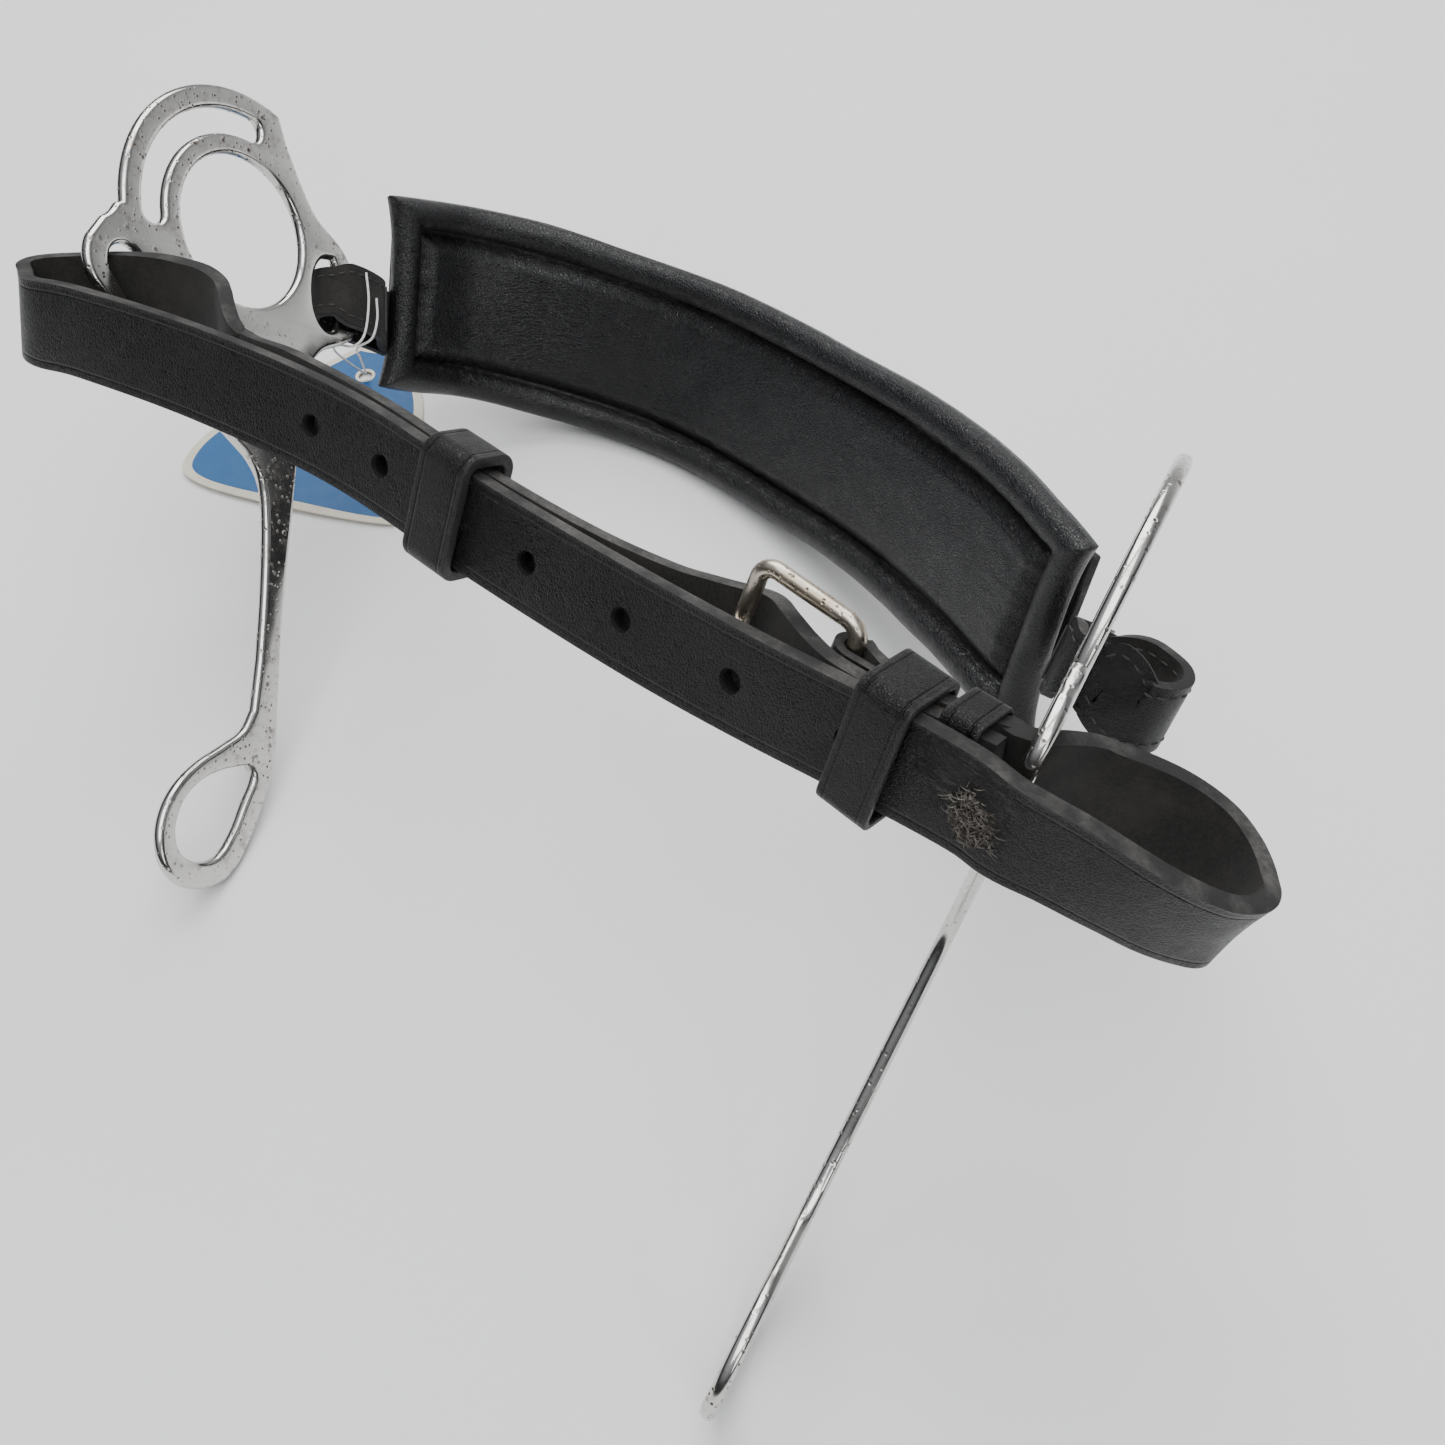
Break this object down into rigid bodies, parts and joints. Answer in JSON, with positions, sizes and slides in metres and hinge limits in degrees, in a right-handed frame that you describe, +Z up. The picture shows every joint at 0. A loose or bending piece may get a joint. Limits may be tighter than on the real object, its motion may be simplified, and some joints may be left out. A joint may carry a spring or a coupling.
{
  "type": "mechanical hackamore",
  "caption": "Bitless bridle hackamore with steel lever cheeks, a padded leather noseband and a buckled leather curb strap.",
  "frame": {"origin": "under the middle of the object as it lies on its two rein rings and the lower edge of the nose pad", "axes": "+X from the left cheek to the right cheek, +Y towards the nose pad, +Z up"},
  "size_m": [0.3462, 0.231, 0.1448],
  "materials": {
    "steel": "polished, a little worn and pitted",
    "nickel": "worn nickel plate",
    "strap_leather": "smooth black, worn at the edges",
    "pad_leather": "soft black, fine grain",
    "foam": "matt",
    "thread": "matt",
    "tag_card": "smooth"
  },
  "bodies": {
    "noseband": {"nose_strap": "strap_leather", "pad_core": "foam", "pad_front_panel": "pad_leather", "pad_back_panel": "pad_leather", "pad_upper_roll": "pad_leather", "pad_lower_roll": "pad_leather", "pad_left_roll": "pad_leather", "pad_right_roll": "pad_leather", "left_nose_tab": "strap_leather", "right_nose_tab": "strap_leather", "left_tab_thread": "thread", "right_tab_thread": "thread", "swing_tag": "tag_card"},
    "left_cheek": {"left_cheek": "steel"},
    "right_cheek": {"right_cheek": "steel"},
    "curb_strap": {"curb_strap": "strap_leather", "fixed_keeper": "strap_leather"},
    "left_keeper": {"left_keeper": "strap_leather"},
    "right_keeper": {"right_keeper": "strap_leather"},
    "buckle_frame": {"buckle_frame": "nickel"},
    "buckle_tongue": {"buckle_tongue": "nickel"}
  },
  "joints": [
    {"name": "left_lever", "type": "hinge", "parent": "noseband", "child": "left_cheek", "pos_m": [-0.11644, 0.03354, 0.06275], "axis": [0.9976, 0.0019, 0.069], "range_deg": [-6, 6]},
    {"name": "right_lever", "type": "hinge", "parent": "noseband", "child": "right_cheek", "pos_m": [0.11383, 0.03397, 0.07866], "axis": [0.9976, 0.0019, 0.069], "range_deg": [-6, 6]},
    {"name": "curb_tilt", "type": "hinge", "parent": "left_cheek", "child": "curb_strap", "pos_m": [-0.11406, -0.02181, 0.09832], "axis": [0.998, 0.0087, 0.0625], "range_deg": [-4, 4]},
    {"name": "left_keeper_slide", "type": "slide", "parent": "curb_strap", "child": "left_keeper", "axis": [0.9991, -0.0412, 0.0063], "range_m": [-0.008, 0.008]},
    {"name": "right_keeper_slide", "type": "slide", "parent": "curb_strap", "child": "right_keeper", "axis": [0.9973, -0.0602, -0.0427], "range_m": [-0.0012, 0.001]},
    {"name": "buckle_swing", "type": "hinge", "parent": "curb_strap", "child": "buckle_frame", "pos_m": [0.09214, -0.02294, 0.11079], "axis": [0.1242, 0.3609, 0.9243], "range_deg": [-1, 1]},
    {"name": "tongue_swing", "type": "hinge", "parent": "buckle_frame", "child": "buckle_tongue", "pos_m": [0.09214, -0.02294, 0.11079], "axis": [0.1242, 0.3609, 0.9243], "range_deg": [-0.5, 1]}
  ],
  "couplings": [
    {"joint": "right_lever", "follows": "left_lever", "ratio": 1}
  ]
}
